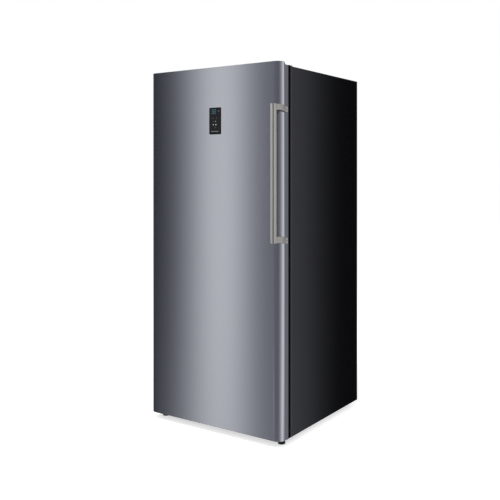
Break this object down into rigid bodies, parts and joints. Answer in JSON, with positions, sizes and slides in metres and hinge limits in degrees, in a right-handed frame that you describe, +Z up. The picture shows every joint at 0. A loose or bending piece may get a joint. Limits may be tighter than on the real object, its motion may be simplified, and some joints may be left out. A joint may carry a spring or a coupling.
{
  "type": "upright refrigerator",
  "caption": "Tall single-door refrigerator with a brushed steel door, black cabinet, side bar handle, door display, shelves, drawers and door racks.",
  "frame": {"origin": "on the floor, under the middle of the whole outline", "axes": "+Z up, the door faces -Y, the handle is at +X and the hinges are at -X"},
  "size_m": [0.704, 0.735, 1.562],
  "materials": {
    "black_paint": "black enamelled sheet steel, satin gloss",
    "back_paint": "dark grey coated sheet steel",
    "galvanised_steel": "zinc-coated sheet steel",
    "foam": "rigid polyurethane foam",
    "white_liner": "vacuum-formed white polystyrene",
    "black_plastic": "black moulded plastic",
    "grey_plastic": "dark grey moulded plastic",
    "lamp_lens": "frosted clear plastic",
    "aluminium": "plain aluminium",
    "compressor_paint": "black enamel over pressed steel",
    "rubber": "soft grey-black rubber",
    "copper": "plain copper",
    "condenser_paint": "black-coated steel tube",
    "hinge_steel": "black-coated plate steel",
    "foot_plastic": "black nylon",
    "shelf_plastic": "white moulded plastic",
    "shelf_glass": "tempered glass",
    "clear_plastic": "clear moulded polystyrene",
    "brushed_steel": "horizontally brushed stainless-look steel",
    "handle_steel": "satin steel-look metal",
    "display_glass": "black display window"
  },
  "bodies": {
    "cabinet": {"cabinet_wrapper": "black_paint", "cabinet_base": "galvanised_steel", "rear_panel": "back_paint", "cabinet_insulation": "foam", "inner_liner": "white_liner", "hinge_hole_cover": "black_plastic", "lamp_base": "white_liner", "lamp_lens": "lamp_lens", "duct_cover": "white_liner", "evaporator": "aluminium", "defrost_heater": "aluminium", "drain_trough": "aluminium", "evaporator_fan_motor": "grey_plastic", "machine_tray": "galvanised_steel", "compressor": "compressor_paint", "compressor_grommets": "rubber", "compressor_relay": "black_plastic", "condenser_shroud": "black_plastic", "evaporation_pan": "black_plastic", "condenser_coil": "condenser_paint", "refrigerant_tubes": "copper", "control_box": "black_plastic", "machine_cover": "back_paint", "cord_gland": "black_plastic", "lower_hinge": "hinge_steel", "foot_bracket": "hinge_steel", "upper_hinge": "hinge_steel", "upper_hinge_cover": "black_plastic"},
    "door": {"door_skin": "brushed_steel", "door_top_cap": "grey_plastic", "door_bottom_cap": "grey_plastic", "door_insulation": "foam", "door_liner": "white_liner", "door_gasket": "rubber", "handle_bar": "handle_steel", "handle_mount_lower": "handle_steel", "handle_mount_upper": "handle_steel", "display_window": "display_glass", "display_housing": "black_plastic"},
    "evaporator_fan": {"evaporator_fan": "grey_plastic"},
    "condenser_fan": {"condenser_fan": "black_plastic"},
    "rear_roller_left": {"rear_roller_left": "foot_plastic"},
    "rear_roller_right": {"rear_roller_right": "foot_plastic"},
    "front_foot_left": {"front_foot_left": "foot_plastic"},
    "front_foot_right": {"front_foot_right": "foot_plastic"},
    "upper_drawer": {"upper_drawer": "clear_plastic"},
    "lower_drawer": {"lower_drawer": "clear_plastic"},
    "shelf_1": {"shelf_frame_1": "shelf_plastic", "shelf_glass_1": "shelf_glass"},
    "shelf_2": {"shelf_frame_2": "shelf_plastic", "shelf_glass_2": "shelf_glass"},
    "shelf_3": {"shelf_frame_3": "shelf_plastic", "shelf_glass_3": "shelf_glass"},
    "shelf_4": {"shelf_frame_4": "shelf_plastic", "shelf_glass_4": "shelf_glass"},
    "door_rack_1": {"door_rack_1": "clear_plastic"},
    "door_rack_2": {"door_rack_2": "clear_plastic"},
    "door_rack_3": {"door_rack_3": "clear_plastic"},
    "door_rack_4": {"door_rack_4": "clear_plastic"},
    "door_rack_5": {"door_rack_5": "clear_plastic"}
  },
  "joints": [
    {"name": "door_swing", "type": "hinge", "parent": "cabinet", "child": "door", "pos_m": [-0.335, -0.2875, 0.79], "axis": [0, 0, -1], "range_deg": [0, 120]},
    {"name": "upper_drawer_slide", "type": "slide", "parent": "cabinet", "child": "upper_drawer", "axis": [0, -1, 0], "range_m": [0, 0.24]},
    {"name": "lower_drawer_slide", "type": "slide", "parent": "cabinet", "child": "lower_drawer", "axis": [0, -1, 0], "range_m": [0, 0.15]},
    {"name": "shelf_1_lift", "type": "slide", "parent": "cabinet", "child": "shelf_1", "axis": [0, 0, 1], "range_m": [0, 0.03]},
    {"name": "shelf_2_lift", "type": "slide", "parent": "cabinet", "child": "shelf_2", "axis": [0, 0, 1], "range_m": [0, 0.03]},
    {"name": "shelf_3_lift", "type": "slide", "parent": "cabinet", "child": "shelf_3", "axis": [0, 0, 1], "range_m": [0, 0.03]},
    {"name": "shelf_4_lift", "type": "slide", "parent": "cabinet", "child": "shelf_4", "axis": [0, 0, 1], "range_m": [0, 0.03]},
    {"name": "door_rack_1_lift", "type": "slide", "parent": "door", "child": "door_rack_1", "axis": [0, 0, 1], "range_m": [0, 0.03]},
    {"name": "door_rack_2_lift", "type": "slide", "parent": "door", "child": "door_rack_2", "axis": [0, 0, 1], "range_m": [0, 0.03]},
    {"name": "door_rack_3_lift", "type": "slide", "parent": "door", "child": "door_rack_3", "axis": [0, 0, 1], "range_m": [0, 0.03]},
    {"name": "door_rack_4_lift", "type": "slide", "parent": "door", "child": "door_rack_4", "axis": [0, 0, 1], "range_m": [0, 0.03]},
    {"name": "door_rack_5_lift", "type": "slide", "parent": "door", "child": "door_rack_5", "axis": [0, 0, 1], "range_m": [0, 0.03]},
    {"name": "evaporator_fan_spin", "type": "hinge", "parent": "cabinet", "child": "evaporator_fan", "pos_m": [0, 0.2755, 0.72], "axis": [0, -1, 0], "continuous": true},
    {"name": "condenser_fan_spin", "type": "hinge", "parent": "cabinet", "child": "condenser_fan", "pos_m": [-0.036, 0.256, 0.14], "axis": [1, 0, 0], "continuous": true},
    {"name": "rear_roller_left_spin", "type": "hinge", "parent": "cabinet", "child": "rear_roller_left", "pos_m": [-0.3, 0.3295, 0.018], "axis": [1, 0, 0], "continuous": true},
    {"name": "rear_roller_right_spin", "type": "hinge", "parent": "cabinet", "child": "rear_roller_right", "pos_m": [0.3, 0.3295, 0.018], "axis": [1, 0, 0], "continuous": true},
    {"name": "front_foot_left_turn", "type": "hinge", "parent": "cabinet", "child": "front_foot_left", "pos_m": [-0.312, -0.2535, 0.005], "axis": [0, 0, 1], "continuous": true},
    {"name": "front_foot_right_turn", "type": "hinge", "parent": "cabinet", "child": "front_foot_right", "pos_m": [0.312, -0.2535, 0.005], "axis": [0, 0, 1], "continuous": true}
  ],
  "couplings": [
    {"joint": "upper_drawer_slide", "follows": "door_swing", "m_per_rad": 0.1145},
    {"joint": "lower_drawer_slide", "follows": "door_swing", "m_per_rad": 0.071524}
  ]
}
